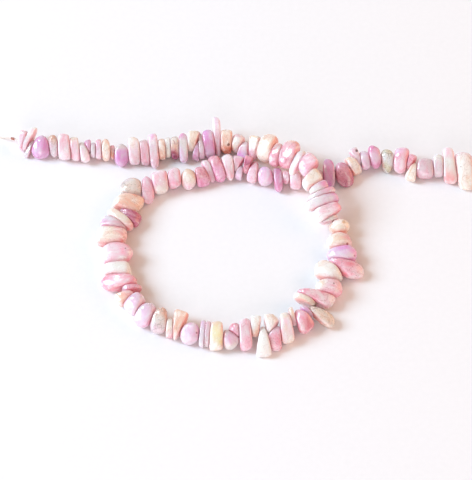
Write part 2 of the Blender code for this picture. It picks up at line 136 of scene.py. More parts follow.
def add(tree, kind, inputs=None, **settings):
    """Adds a node with its settings, and sets its sockets or links them to other nodes' outputs."""
    node = tree.nodes.new(kind)
    for name, value in settings.items():
        setattr(node, name, value)
    for name, value in (inputs or {}).items():
        if isinstance(value, bpy.types.NodeSocket):
            tree.links.new(value, node.inputs[name])
        else:
            node.inputs[name].default_value = value
    return node


def linear(hex_colour):
    """An sRGB hex colour as linear red, green, blue and alpha."""
    parts = [int(hex_colour[k : k + 2], 16) / 255 for k in (0, 2, 4)]
    parts = [part / 12.92 if part <= 0.04045 else ((part + 0.055) / 1.055) ** 2.4 for part in parts]
    return (*parts, 1)


# Kunzite as it comes out of the tumbler: a soft satin polish over milky pink stone with wisps of
# cloud, healed cracks and small pits. A finish says how clear the stone is, how milky, how rough
# its polish, how strong its veins, specks and clouds are, the colour of the veins and pits, and
# what its clear part lets through and how strongly it absorbs.
Finish = namedtuple("Finish", "clear milk roughness veins specks clouds vein through density")
FINISHES = {
    "blush": Finish(0.05, 1.0, 0.2, 0.3, 0.35, 0.55, "B8808A", "FBE6EA", 40),
    "pink": Finish(0.08, 1.0, 0.18, 0.35, 0.35, 0.5, "B8707E", "F7CBDC", 60),
    "rose": Finish(0.08, 1.0, 0.16, 0.5, 0.7, 0.55, "A85C6C", "F2BCCA", 60),
    "ruby": Finish(0.15, 1.0, 0.12, 0.6, 0.7, 0.6, "8C3C5C", "DC94AC", 70),
    "white": Finish(0.04, 1.0, 0.22, 0.25, 0.25, 0.6, "B89490", "FDF3F2", 30),
    "cream": Finish(0.04, 1.0, 0.24, 0.35, 0.35, 0.55, "A88068", "FBEBD8", 40),
    "peach": Finish(0.05, 1.0, 0.22, 0.4, 0.5, 0.5, "A8705A", "F9D3B4", 60),
    "orchid": Finish(0.25, 1.0, 0.06, 0.2, 0.2, 0.5, "A86C98", "F4BCE6", 50),
    "lilac": Finish(0.15, 1.0, 0.14, 0.25, 0.25, 0.55, "A87C9C", "F3D2F0", 50),
    "mauve": Finish(0.22, 1.0, 0.12, 0.3, 0.35, 0.45, "94587C", "EDBBD8", 60),
    "smoke": Finish(0.25, 1.0, 0.05, 1.0, 0.9, 0.9, "5E583A", "F0EBD8", 30),
    "grey": Finish(0.25, 1.0, 0.12, 0.65, 0.8, 0.6, "9A8472", "F2E8DE", 30),
}
KUNZITE_IOR = 1.66
MILK_WHITE = "FFF8F6"
MILK_DEPTH = 2.2
CLOUD_SIZE = 1.9
CLEAVAGE_STRETCH = 0.4
VEIN_SIZE = 2.0
VEIN_BREAK_SIZE = 2.0
SPECK_SIZE = 0.3
POLISH_RIPPLE_SIZE = 0.9
POLISH_RIPPLE_DEPTH = 0.14


def tumbled_kunzite(finish):
    """Polished stone of one finish. Its tint, with painted shade in its seams, its grain and any
    iron spot are the chip's own.
    """
    own = FINISHES[finish]
    material = bpy.data.materials.new(f"tumbled_kunzite_{finish}")
    material.use_nodes = True
    tree = material.node_tree
    shader = tree.nodes["Principled BSDF"]
    tint = add(tree, "ShaderNodeAttribute", attribute_name="tint").outputs["Color"]
    grain = add(tree, "ShaderNodeAttribute", attribute_name="grain").outputs["Vector"]
    drawn = add(tree, "ShaderNodeMapping", {"Vector": grain, "Scale": (CLEAVAGE_STRETCH, 1, 1)})

    # Cloud: milky wisps where the stone is nearly white, and clearer patches of a deeper tint,
    # both drawn out along the cleavage.
    cloud = add(tree, "ShaderNodeTexNoise", {
        "Vector": drawn.outputs["Vector"], "Scale": 1 / CLOUD_SIZE, "Detail": 5, "Roughness": 0.65,
        "Distortion": 0.6,
    })
    wisps = add(tree, "ShaderNodeMapRange", {
        "Value": cloud.outputs["Fac"], "From Min": 0.5, "From Max": 0.68, "To Max": own.clouds,
    }, interpolation_type="SMOOTHSTEP")
    deeper = add(tree, "ShaderNodeMapRange", {
        "Value": cloud.outputs["Fac"], "From Min": 0.52, "From Max": 0.36, "To Max": 0.6,
    }, interpolation_type="SMOOTHSTEP")
    doubled = add(tree, "ShaderNodeMix", {
        "Factor": 1, 6: tint, 7: tint,
    }, data_type="RGBA", blend_type="MULTIPLY")
    deep = add(tree, "ShaderNodeMix", {
        "Factor": deeper.outputs["Result"], 6: tint, 7: doubled.outputs[2],
    }, data_type="RGBA")
    milky = add(tree, "ShaderNodeMix", {
        "Factor": wisps.outputs["Result"], 6: deep.outputs[2], 7: linear(MILK_WHITE),
    }, data_type="RGBA")

    # Veins: healed cracks, thin and broken, seen as hairlines of the finish's own vein colour.
    crack = add(tree, "ShaderNodeTexVoronoi", {
        "Vector": grain, "Scale": 1 / VEIN_SIZE, "Randomness": 1,
    }, feature="DISTANCE_TO_EDGE")
    hairline = add(tree, "ShaderNodeMapRange", {
        "Value": crack.outputs["Distance"], "From Min": 0.045, "From Max": 0.0,
    }, interpolation_type="SMOOTHSTEP")
    breaks = add(tree, "ShaderNodeTexNoise", {
        "Vector": grain, "Scale": 1 / VEIN_BREAK_SIZE, "Detail": 2,
    })
    broken = add(tree, "ShaderNodeMapRange", {
        "Value": breaks.outputs["Fac"], "From Min": 0.46, "From Max": 0.6, "To Max": own.veins,
    })
    vein = add(tree, "ShaderNodeMath", {
        0: hairline.outputs["Result"], 1: broken.outputs["Result"],
    }, operation="MULTIPLY")
    veined = add(tree, "ShaderNodeMix", {
        "Factor": vein.outputs["Value"], 6: milky.outputs[2], 7: linear(own.vein),
    }, data_type="RGBA")

    # Specks: pin-size pits that hold a little of the polishing grit.
    grains = add(tree, "ShaderNodeTexNoise", {
        "Vector": grain, "Scale": 1 / SPECK_SIZE, "Detail": 1,
    })
    pits = add(tree, "ShaderNodeMapRange", {
        "Value": grains.outputs["Fac"], "From Min": 0.62, "From Max": 0.74, "To Max": own.specks,
    })
    pitted = add(tree, "ShaderNodeMix", {
        "Factor": pits.outputs["Result"], 6: veined.outputs[2], 7: linear(own.vein),
    }, data_type="RGBA")

    # Stain: an iron spot, where the chip carries one.
    spot = add(tree, "ShaderNodeAttribute", attribute_name="spot").outputs["Vector"]
    away = add(tree, "ShaderNodeVectorMath", {0: grain, 1: spot}, operation="DISTANCE")
    radius = add(tree, "ShaderNodeAttribute", attribute_name="spot_radius").outputs["Fac"]
    share = add(tree, "ShaderNodeMath", {0: away.outputs["Value"], 1: radius}, operation="DIVIDE")
    ragged = add(tree, "ShaderNodeMath", {
        0: grains.outputs["Fac"], 1: 0.9, 2: share.outputs["Value"],
    }, operation="MULTIPLY_ADD")
    stained = add(tree, "ShaderNodeMapRange", {
        "Value": ragged.outputs["Value"], "From Min": 1.65, "From Max": 1.0, "To Max": 0.85,
    }, interpolation_type="SMOOTHSTEP")
    spot_tint = add(tree, "ShaderNodeAttribute", attribute_name="spot_tint").outputs["Color"]
    colour = add(tree, "ShaderNodeMix", {
        "Factor": stained.outputs["Result"], 6: pitted.outputs[2], 7: spot_tint,
    }, data_type="RGBA")
    tree.links.new(colour.outputs[2], shader.inputs["Base Color"])

    # Polish: a slow ripple left by the tumbler, with the pits sunk into it.
    ripple = add(tree, "ShaderNodeTexNoise", {
        "Vector": drawn.outputs["Vector"], "Scale": 1 / POLISH_RIPPLE_SIZE, "Detail": 4,
    })
    sunk = add(tree, "ShaderNodeMath", {
        0: pits.outputs["Result"], 1: -0.5, 2: ripple.outputs["Fac"],
    }, operation="MULTIPLY_ADD")
    bump = add(tree, "ShaderNodeBump", {
        "Strength": 0.4, "Distance": POLISH_RIPPLE_DEPTH * MM, "Height": sunk.outputs["Value"],
    })
    tree.links.new(bump.outputs["Normal"], shader.inputs["Normal"])
    satin = add(tree, "ShaderNodeMapRange", {
        "Value": cloud.outputs["Fac"], "From Min": 0.3, "From Max": 0.7,
        "To Min": 0.7 * own.roughness, "To Max": 1.5 * own.roughness,
    })
    tree.links.new(satin.outputs["Result"], shader.inputs["Roughness"])

    shader.inputs["IOR"].default_value = KUNZITE_IOR
    shader.inputs["Transmission Weight"].default_value = own.clear
    shader.inputs["Subsurface Weight"].default_value = own.milk
    shader.inputs["Subsurface Radius"].default_value = (1.0, 0.92, 0.96)
    shader.inputs["Subsurface Scale"].default_value = MILK_DEPTH * MM
    absorbed = add(tree, "ShaderNodeVolumeAbsorption", {
        "Color": linear(own.through), "Density": own.density,
    })
    tree.links.new(absorbed.outputs["Volume"], tree.nodes["Material Output"].inputs["Volume"])
    return material


STONES = {finish: tumbled_kunzite(finish) for finish in FINISHES}

# The chips: tumbled scraps of kunzite, each drilled through and pushed up against its neighbours.
# A chip fills its cell between the two planes that it shares with them. left and right are how
# far its ends reach from the thread, seen along the strand; roll is how far its left end is
# tipped up, and seam is how far the plane after it is turned forwards at the left. tints are the
# stone's colours at its left end, in its middle and at its right end.
TINTS = {
    "snow": "FFF5F0", "ivory": "FFEBE2", "shell": "FFE4EA", "blush": "FFD9E1", "petal": "FFDAEA",
    "pink": "FFCCD8", "rose": "FCBFCA", "dusty": "ECB3BF", "salmon": "FBCCCC", "ruby": "D88EA8",
    "wine": "BA5E8A", "cream": "FFE8DB", "butter": "FFEFCE", "peach": "FFD9CA", "tan": "F2CEBE",
    "rust": "E8A088", "orchid": "FFC8ED", "violet": "EEBCE9", "lilac": "FFDBF0",
    "mist": "FFE6F2", "mauve": "F5BDD8", "smoke": "E9E2CA", "grey": "FFEAE8",
}
# A form is how square the outline is, how much wider its left end is than its right, how far its
# rim is domed from one neighbour to the other, how square its edge against them is, how round its
# two ends are, and how many worn flats the rough stone had.
Form = namedtuple("Form", "squareness taper dome edge ends flats")
FORMS = {
    "block": Form(2.8, 0.0, 0.7, 11, 0.2, 5),
    "slab": Form(2.5, 0.0, 0.8, 10, 0.4, 4),
    "pebble": Form(2.2, 0.0, 1.05, 8.5, 0.35, 5),
    "oval": Form(2.0, 0.0, 1.0, 8, 0.8, 3),
    "wedge": Form(2.4, 0.22, 0.8, 10, 0.3, 4),
    "drop": Form(2.1, -0.28, 0.9, 7.5, 0.6, 3),
    "spike": Form(2.0, -0.35, 0.9, 7.5, 0.9, 4),
    "shard": Form(2.2, 0.0, 1.45, 7.5, 0.5, 3),
    "fin": Form(2.1, -0.15, 1.9, 7, 0.6, 3),
}
FLAT_EDGE = 12
FIRST_SEAM = -24
Chip = namedtuple("Chip", "thickness left right width roll seam form finish tints")
CHIPS = [
    Chip(2.3, 3.4, 3.5, 4.2, 28, 3, "slab", "blush", "shell blush blush"),
    Chip(1.6, 5.5, 3.0, 4.0, 21, 8, "slab", "white", "snow shell blush"),
    Chip(1.3, 1.2, 5.5, 3.0, 30, 8, "pebble", "grey", "pink blush shell"),
    Chip(4.8, 3.6, 4.3, 4.8, 25, -22, "pebble", "orchid", "orchid orchid orchid"),
    Chip(2.8, 4.3, 3.3, 4.2, 30, -10, "oval", "grey", "tan shell shell"),
    Chip(3.8, 4.8, 3.9, 4.8, 18, -10, "block", "blush", "blush blush shell"),
    Chip(2.8, 4.3, 3.8, 4.4, 26, -12, "slab", "blush", "cream blush blush"),
    Chip(2.3, 2.6, 4.4, 4.4, 20, -30, "pebble", "white", "snow shell shell"),
    Chip(1.3, 3.5, 1.2, 3.4, 30, -5, "oval", "mauve", "mauve mauve rose"),
    Chip(1.5, 2.6, 2.4, 3.6, 28, -5, "pebble", "lilac", "mist shell mist"),
    Chip(1.8, 3.9, 2.7, 4.0, 26, -8, "slab", "pink", "blush pink pink"),
    Chip(2.7, 4.4, 3.2, 4.4, 16, -10, "oval", "cream", "peach cream peach"),
    Chip(1.3, 2.2, 2.4, 3.0, 28, -2, "pebble", "rose", "rose rust rose"),
    Chip(4.2, 2.8, 4.7, 4.6, 22, -3, "oval", "orchid", "grey orchid orchid"),
    Chip(3.6, 5.0, 4.4, 4.8, 26, -1, "slab", "blush", "ivory shell shell"),
    Chip(2.7, 4.0, 4.8, 4.4, 24, -2, "slab", "pink", "blush pink pink"),
    Chip(3.0, 6.3, 6.2, 4.0, 18, 1, "oval", "white", "petal shell pink"),
    Chip(2.2, 3.7, 3.5, 4.2, 18, 3, "slab", "cream", "tan tan peach"),
    Chip(1.6, 4.0, 2.9, 3.8, 26, 3, "slab", "cream", "ivory ivory cream"),
    Chip(2.5, 4.1, 3.6, 4.6, 28, 4, "pebble", "ruby", "cream peach wine"),
    Chip(2.8, 4.9, 5.4, 4.4, 18, 6, "oval", "lilac", "mauve grey lilac"),
    Chip(2.6, 5.2, 1.5, 4.2, 28, 30, "block", "cream", "cream cream cream"),
    Chip(0.8, 1.2, 5.2, 4.2, 22, 9, "pebble", "mauve", "mauve mauve mauve"),
    Chip(1.4, 4.2, 4.6, 3.6, 16, 2, "slab", "blush", "snow shell petal"),
    Chip(3.5, 4.7, 4.8, 4.8, 26, -3, "slab", "orchid", "orchid mauve orchid"),
    Chip(2.0, 8.8, 4.4, 3.4, 30, -2, "spike", "pink", "mist blush pink"),
    Chip(3.4, 4.6, 3.2, 4.6, 26, -2, "block", "peach", "cream peach rust"),
    Chip(3.2, 3.5, 2.8, 4.6, 24, 22, "pebble", "blush", "blush snow peach"),
    Chip(2.2, 1.6, 5.0, 4.0, 22, -10, "oval", "pink", "pink pink orchid"),
    Chip(3.5, 3.9, 4.3, 4.4, 17, -2, "wedge", "cream", "cream cream rose"),
    Chip(5.2, 5.3, 4.5, 5.0, 22, -6, "slab", "cream", "peach cream cream"),
    Chip(2.8, 2.9, 5.2, 4.2, 14, -18, "slab", "rose", "salmon rose dusty"),
    Chip(5.6, 5.9, 4.8, 5.0, 12, -22, "pebble", "rose", "peach rose dusty"),
    Chip(2.7, 4.3, 5.2, 3.8, 16, -20, "oval", "white", "snow shell snow"),
    Chip(4.9, 5.2, 1.9, 4.6, 12, -19, "block", "blush", "blush blush pink"),
    Chip(4.2, 3.0, 4.1, 4.6, 8, -8, "block", "cream", "cream ivory snow"),
    Chip(2.4, 3.4, 3.3, 3.8, 12, 4, "slab", "white", "mauve shell snow"),
    Chip(1.7, 4.6, 4.3, 3.6, 10, 7, "slab", "pink", "pink blush shell"),
    Chip(3.2, 4.4, 6.2, 4.4, 8, 4, "wedge", "lilac", "orchid shell snow"),
    Chip(3.7, 4.3, 5.0, 4.6, 9, -12, "slab", "cream", "pink blush snow"),
    Chip(1.5, 1.6, 4.2, 3.2, 8, 2, "slab", "pink", "shell snow shell"),
    Chip(4.8, 4.2, 2.4, 4.6, 5, 3, "oval", "white", "cream cream tan"),
    Chip(5.4, 3.6, 4.7, 5.0, -4, -3, "pebble", "cream", "blush cream cream"),
    Chip(4.4, 4.8, 4.6, 4.4, 6, -4, "slab", "lilac", "orchid orchid lilac"),
    Chip(3.4, 8.6, 3.8, 4.6, -8, 24, "fin", "rose", "shell rose pink"),
    Chip(4.4, 3.0, 7.0, 4.8, -4, -16, "oval", "white", "snow snow ivory"),
    Chip(5.8, 4.9, 4.0, 4.8, -12, -22, "pebble", "peach", "pink blush cream"),
    Chip(3.8, 4.3, 7.2, 4.4, -9, -9, "slab", "rose", "shell rose rose"),
    Chip(1.7, 0.3, 7.2, 3.6, -14, -15, "oval", "cream", "cream cream ivory"),
    Chip(1.9, 8.6, 1.2, 3.4, -8, 10, "fin", "grey", "ivory cream tan"),
    Chip(1.5, 1.8, 3.4, 3.2, -16, 6, "pebble", "mauve", "lilac violet mist"),
    Chip(4.2, 4.4, 3.6, 5.0, -18, 20, "pebble", "pink", "dusty pink pink"),
    Chip(1.6, 0.6, 5.8, 3.4, -20, 14, "slab", "blush", "blush cream cream"),
    Chip(3.6, 4.9, 5.2, 4.6, -17, 8, "slab", "blush", "cream shell cream"),
    Chip(2.1, 6.5, 1.1, 4.0, -22, 46, "slab", "rose", "pink rose pink"),
    Chip(2.0, 1.3, 5.5, 4.0, -24, -5, "pebble", "cream", "ivory snow ivory"),
    Chip(2.1, 8.6, 1.8, 4.2, -16, 20, "oval", "white", "snow snow snow"),
    Chip(2.3, 1.4, 5.4, 3.8, -24, 4, "slab", "cream", "peach snow snow"),
    Chip(3.6, 5.3, 5.0, 4.4, -18, 4, "slab", "pink", "pink blush blush"),
    Chip(1.6, 1.0, 3.8, 3.8, -20, -48, "pebble", "rose", "dusty dusty rose"),
    Chip(3.1, 4.3, 2.2, 4.4, -22, -3, "oval", "lilac", "snow petal petal"),
    Chip(3.8, 5.0, 4.3, 5.0, -20, -5, "block", "white", "ivory butter cream"),
    Chip(1.5, 4.3, 3.9, 4.0, -24, -8, "slab", "pink", "shell blush blush"),
    Chip(1.5, 4.6, 4.0, 4.0, -20, -9, "slab", "lilac", "mist mist lilac"),
    Chip(5.3, 4.6, 2.5, 5.0, -22, 8, "pebble", "lilac", "mist petal lilac"),
    Chip(2.9, 4.8, 5.2, 4.4, -16, -20, "slab", "peach", "ivory peach peach"),
    Chip(2.0, 4.6, 2.0, 4.0, -22, -18, "slab", "cream", "rose cream cream"),
    Chip(4.6, 4.5, 4.4, 4.6, -20, -12, "oval", "grey", "shell ivory tan"),
    Chip(4.9, 5.1, 3.5, 4.6, -14, -9, "pebble", "lilac", "petal mist lilac"),
    Chip(4.6, 3.5, 3.3, 4.8, -16, -6, "block", "lilac", "mist petal mist"),
    Chip(2.2, 4.3, 1.8, 4.0, -12, 18, "block", "peach", "cream peach salmon"),
    Chip(2.1, 0.8, 5.0, 4.0, -8, 18, "slab", "ruby", "pink rose rose"),
    Chip(4.6, 6.1, 5.4, 4.4, -10, 22, "drop", "pink", "rose rose rose"),
    Chip(4.3, 4.7, 4.4, 4.6, -5, 5, "block", "white", "snow snow snow"),
    Chip(7.6, 4.8, 5.8, 5.0, -5, -2, "pebble", "blush", "shell blush pink"),
    Chip(5.6, 5.6, 4.0, 4.8, 3, -4, "block", "cream", "ivory cream salmon"),
    Chip(2.6, 5.3, 4.2, 4.2, 6, 26, "pebble", "lilac", "petal blush pink"),
    Chip(3.0, 4.4, 5.2, 4.2, 4, 22, "slab", "white", "ivory cream salmon"),
    Chip(1.8, 1.2, 6.4, 4.2, 8, -6, "slab", "ruby", "ruby ruby ruby"),
    Chip(5.8, 4.3, 4.3, 5.0, 12, -34, "block", "peach", "cream peach peach"),
    Chip(3.7, 6.2, 1.6, 4.6, 14, 38, "pebble", "grey", "grey ivory grey"),
    Chip(3.8, 4.0, 5.6, 3.8, 16, 10, "oval", "pink", "pink pink pink"),
    Chip(4.9, 4.0, 3.5, 4.8, 22, 7, "block", "blush", "shell blush snow"),
    Chip(4.1, 4.1, 2.8, 4.6, 16, 11, "slab", "pink", "blush blush pink"),
    Chip(4.6, 2.7, 4.4, 4.8, 22, 8, "oval", "cream", "cream ivory blush"),
    Chip(3.2, 2.4, 4.5, 4.2, 20, -14, "wedge", "rose", "dusty dusty mauve"),
    Chip(2.1, 3.9, 3.6, 3.8, 26, -10, "slab", "pink", "shell pink pink"),
    Chip(3.5, 5.0, 3.9, 4.4, 22, -10, "slab", "rose", "dusty mauve mauve"),
    Chip(3.3, 5.1, 4.0, 4.6, 24, -5, "oval", "white", "shell shell blush"),
    Chip(1.5, 4.4, 1.2, 3.6, 18, 24, "slab", "pink", "blush pink pink"),
    Chip(1.3, 1.1, 3.6, 3.6, 24, -4, "pebble", "lilac", "petal petal lilac"),
    Chip(1.9, 5.0, 1.3, 3.8, 26, 4, "slab", "ruby", "rose ruby rose"),
    Chip(2.8, 3.8, 3.8, 4.2, 19, -14, "drop", "pink", "ruby pink blush"),
    Chip(4.9, 3.0, 3.5, 4.6, 24, -18, "pebble", "pink", "orchid petal petal"),
    Chip(2.8, 3.6, 4.7, 4.0, 20, -14, "drop", "mauve", "mauve mauve mauve"),
    Chip(2.2, 3.0, 1.6, 3.6, 16, -10, "pebble", "peach", "peach rose pink"),
    Chip(3.5, 3.0, 3.3, 4.2, 18, -4, "slab", "blush", "shell shell blush"),
    Chip(2.5, 2.2, 2.4, 3.6, 10, 0, "pebble", "pink", "shell snow shell"),
    Chip(2.2, 2.0, 2.3, 3.4, 8, 6, "slab", "blush", "pink blush blush"),
    Chip(2.3, 2.4, 2.2, 3.6, 10, 14, "pebble", "rose", "rose pink rose"),
    Chip(3.8, 5.6, 4.4, 4.0, 20, 20, "oval", "mauve", "mauve orchid orchid"),
    Chip(4.7, 3.0, 6.0, 4.8, 22, -6, "shard", "ruby", "mauve dusty ruby"),
    Chip(3.0, 3.2, 3.2, 4.0, 22, -20, "block", "cream", "cream ivory peach"),
    Chip(1.2, 5.6, 0.8, 3.4, 26, 4, "oval", "lilac", "shell shell mist"),
    Chip(2.8, 3.8, 2.4, 4.2, 17, 1, "pebble", "lilac", "lilac petal lilac"),
    Chip(3.6, 5.3, 2.7, 4.4, 26, -6, "oval", "mauve", "mauve petal mauve"),
    Chip(3.8, 3.6, 4.2, 4.4, 26, -10, "oval", "smoke", "smoke snow smoke"),
    Chip(4.4, 5.6, 3.3, 4.8, 19, -4, "pebble", "pink", "petal pink blush"),
    Chip(1.5, 3.8, 1.4, 3.6, 26, 22, "slab", "rose", "pink rose rose"),
    Chip(1.5, 1.3, 5.0, 3.8, 20, 0, "slab", "cream", "peach cream cream"),
    Chip(5.0, 2.8, 3.9, 4.6, 16, 0, "block", "mauve", "blush shell blush"),
    Chip(3.0, 4.1, 3.5, 4.2, 26, -4, "slab", "lilac", "snow shell shell"),
    Chip(3.9, 6.9, 5.5, 4.4, 16, -11, "slab", "white", "shell snow salmon"),
    Chip(5.4, 5.4, 7.4, 5.0, 18, -14, "wedge", "cream", "shell ivory cream"),
    Chip(1.9, 4.0, 1.4, 3.8, 24, -6, "pebble", "ruby", "ruby salmon peach"),
    Chip(2.6, 3.6, 3.8, 4.2, 20, -2, "slab", "cream", "cream ivory cream"),
    Chip(3.4, 4.4, 3.0, 4.6, 14, 4, "pebble", "rose", "rose pink blush"),
    Chip(2.2, 3.2, 4.2, 4.0, 24, 6, "oval", "mauve", "lilac mauve lilac"),
    Chip(3.8, 4.6, 4.0, 4.8, 18, 0, "block", "blush", "shell blush blush"),
    Chip(2.0, 3.4, 3.2, 4.0, 26, -6, "slab", "peach", "cream peach peach"),
    Chip(3.0, 4.2, 4.4, 4.4, 16, -2, "pebble", "lilac", "mist lilac petal"),
    Chip(2.6, 3.0, 3.6, 4.0, 22, 4, "slab", "white", "snow shell snow"),
    Chip(2.4, 3.4, 2.8, 4.0, 20, 8, "wedge", "blush", "blush shell blush"),
]
# Iron spots: the chip, where the spot sits across and along it from -1 to 1, its radius and tint.
Spot = namedtuple("Spot", "across along radius tint")
SPOTS = {
    27: Spot(-0.35, 0.45, 0.5, "744434"),
    42: Spot(0.45, -0.2, 0.7, "E2C4A6"),
    43: Spot(0.5, 0.8, 0.45, "A04C62"),
    44: Spot(0.85, 0.4, 0.35, "B47CA0"),
    47: Spot(0.1, -0.3, 0.3, "96505C"),
    65: Spot(-0.1, -0.8, 0.35, "AC6C84"),
    75: Spot(-0.6, 0.1, 0.24, "96707A"),
    76: Spot(-0.8, -0.3, 0.35, "C08E7C"),
    104: Spot(0.5, 0.3, 0.5, "543834"),
    114: Spot(0.1, -0.5, 0.35, "B8A294"),
}
# Chips lie GAP apart. Near where one presses on the next, painted shade darkens its tint to rose.
GAP = 0.03
SEAM_SHADE_ROSE = "F8DCE0"
HOLE_RADIUS = 0.45
MOUTH_RADIUS = 0.56
MOUTH_DEPTH = 0.14
ABOVE_CHIP = 3
AROUND = 48
BANDS = 20
FLAT_LEAST, FLAT_MOST = 0.03, 0.2
LUMP = 0.07
LONGEST_REACH = 14.0
HALVINGS = 28
Cell = namedtuple("Cell", "centre along across upright behind ahead")


def chip_cell(at, thickness, roll, lean_behind, lean_ahead):
    """The chip's own directions and the two planes that it lies between."""
    centre, along = place(at + thickness / 2), heading(at + thickness / 2)
    left = Vector((0, 0, 1)).cross(along).normalized()
    tip = math.radians(roll)
    across = math.cos(tip) * left + math.sin(tip) * along.cross(left)
    planes = []
    for distance, lean, side in ((at, lean_behind, -1), (at + thickness, lean_ahead, 1)):
        forwards = heading(distance)
        level = Vector((0, 0, 1)).cross(forwards).normalized()
        turn = math.radians(lean)
        normal = side * (math.cos(turn) * forwards - math.sin(turn) * level).normalized()
        planes.append((np.array(normal), (place(distance) - centre).dot(normal) - GAP / 2))
    axes = [np.array(axis) for axis in (centre, along, across, along.cross(across))]
    return Cell(*axes, *planes)


def outline_reach(chip, form, x, y, z, pressed, chance):
    """How far out of the chip's outline a point lies: 1 is on it."""
    half_length, half_width = (chip.left + chip.right) / 2, chip.width / 2
    rounding = min(form.ends * chip.thickness / 2 / half_length, 0.3)
    u = (x - (chip.left - chip.right) / 2) / half_length
    u = u / (1 - rounding * np.clip(pressed, 0, 1) ** 2)
    v = y / half_width
    angle = np.arctan2(v, u)
    swell, turn = chance
    v = v / (1 + form.taper * np.clip(u, -1, 1)) / (1 + swell * np.cos(3 * angle + turn))
    w = form.dome * z / half_length
    return sum(np.abs(reach) ** form.squareness for reach in (u, v, w)) ** (1 / form.squareness)


def depth(points, cell, chip, form, flats, chance):
    """How far through the chip's skin each point lies: under 1 is inside. Edges come out worn."""
    x, y, z = points @ cell.across, points @ cell.upright, points @ cell.along
    planes = (cell.behind, cell.ahead)
    faces = [np.maximum(points @ normal, 0) / distance for normal, distance in planes]
    body = outline_reach(chip, form, x, y, z, np.maximum(*faces), chance) ** form.edge
    for face in faces:
        body = body + face**form.edge
    reaches = [body ** (1 / form.edge)]
    for normal, distance in flats:
        reaches.append(np.maximum(points @ normal, 0) / distance)
    reaches.append(np.maximum(-points[..., 2], 0) / cell.centre[2])
    return (np.array(reaches) ** FLAT_EDGE).sum(0) ** (1 / FLAT_EDGE)


def skin(starts, rays, *shape):
    """How far along each ray from its start the chip's skin lies."""
    near, far = np.zeros(len(rays)), np.full(len(rays), LONGEST_REACH)
    for _ in range(HALVINGS):
        middle = (near + far) / 2
        inside = depth(starts + rays * middle[:, None], *shape) < 1
        near, far = np.where(inside, middle, near), np.where(inside, far, middle)
    return near


def chip_mesh(name, number, chip, cell):
    """The chip as rings about its drilled hole, from the hole's back mouth to its front one."""
    random_number = random.Random(number)
    chance = (random_number.uniform(0.02, 0.07), random_number.uniform(0, math.tau))
    form = FORMS[chip.form]
    half_length, half_width = (chip.left + chip.right) / 2, chip.width / 2
    middle = (chip.left - chip.right) / 2
    turns = np.arange(AROUND) * math.tau / AROUND
    rim_x, rim_y = middle + half_length * np.cos(turns), half_width * np.sin(turns)
    rim = rim_x[:, None] * cell.across + rim_y[:, None] * cell.upright
    ends = []
    for normal, distance in (cell.behind, cell.ahead):
        ends.append((distance - rim @ normal) / (cell.along @ normal))
    half = np.maximum((ends[1] - ends[0]) / 2, 0.3)
    rim = rim + ((ends[0] + ends[1]) / 2)[:, None] * cell.along
    radius = np.hypot(rim_x, rim_y)
    steepest = np.arctan(radius * chip.thickness / 2 / half / (1.3 * MOUTH_RADIUS))
    slopes = np.linspace(-1, 1, BANDS)[:, None] * steepest
    rays = np.cos(slopes)[..., None] * rim + (np.sin(slopes) * half)[..., None] * cell.along
    rays = rays.reshape(-1, 3)
    rays /= np.linalg.norm(rays, axis=1)[:, None]
    still = np.zeros_like(rays)
    bare = (cell, chip, form, [], chance)
    whole = rays * skin(still, rays, *bare)[:, None]
    core = middle * cell.across
    flats = []
    for _ in range(form.flats):
        turn = random_number.uniform(0, math.tau)
        tilt = random_number.uniform(-0.7, 0.7)
        normal = math.cos(turn) * cell.across * 0.7 + math.sin(turn) * cell.upright
        normal = normal + tilt * cell.along
        normal /= np.linalg.norm(normal)
        worn = random_number.uniform(FLAT_LEAST, FLAT_MOST) * (1 - 0.75 * abs(math.cos(turn)))
        reach = ((whole - core) @ normal).max() * (1 - worn) + core @ normal
        flats.append((normal, max(reach, 1.25 * MOUTH_RADIUS)))
    shape = (cell, chip, form, flats, chance)
    lumps = np.zeros(len(rays))
    for _ in range(5):
        wave = np.array([random_number.gauss(0, 2.2) for _ in range(3)])
        lumps += 0.2 * np.sin(rays @ wave + random_number.uniform(0, math.tau))
    lumps = LUMP * np.cos(slopes).ravel() ** 2 * (0.5 + 0.5 * lumps)
    surface = rays * (skin(still, rays, *shape) * (1 - lumps))[:, None]
    surface = surface.reshape(BANDS, AROUND, 3)
    spokes = (rim_x[:, None] * cell.across + rim_y[:, None] * cell.upright) / radius[:, None]
    mouths = []
    for side, inward in ((-1, 1), (1, -1)):
        ray = np.repeat([side * cell.along], AROUND, 0)
        height = skin(spokes * MOUTH_RADIUS, ray, *shape)
        lip = spokes * MOUTH_RADIUS + ray * height[:, None]
        throat = spokes * HOLE_RADIUS + ray * np.maximum(height - MOUTH_DEPTH, 0.05)[:, None]
        mouths.append([lip, throat])
    rings = np.array([mouths[0][1], mouths[0][0], *surface, mouths[1][0], mouths[1][1]])
    points = rings.reshape(-1, 3)
    faces = []
    for ring in range(len(rings)):
        following = (ring + 1) % len(rings)
        for side in range(AROUND):
            onward = (side + 1) % AROUND
            faces.append((
                ring * AROUND + side, ring * AROUND + onward,
                following * AROUND + onward, following * AROUND + side,
            ))
    mesh = bpy.data.meshes.new(name)
    mesh.from_pydata(((points + cell.centre) * MM).tolist(), [], faces)
    mesh.shade_smooth()
    paint_chip(mesh, points, cell, number, chip, random_number)
    return mesh


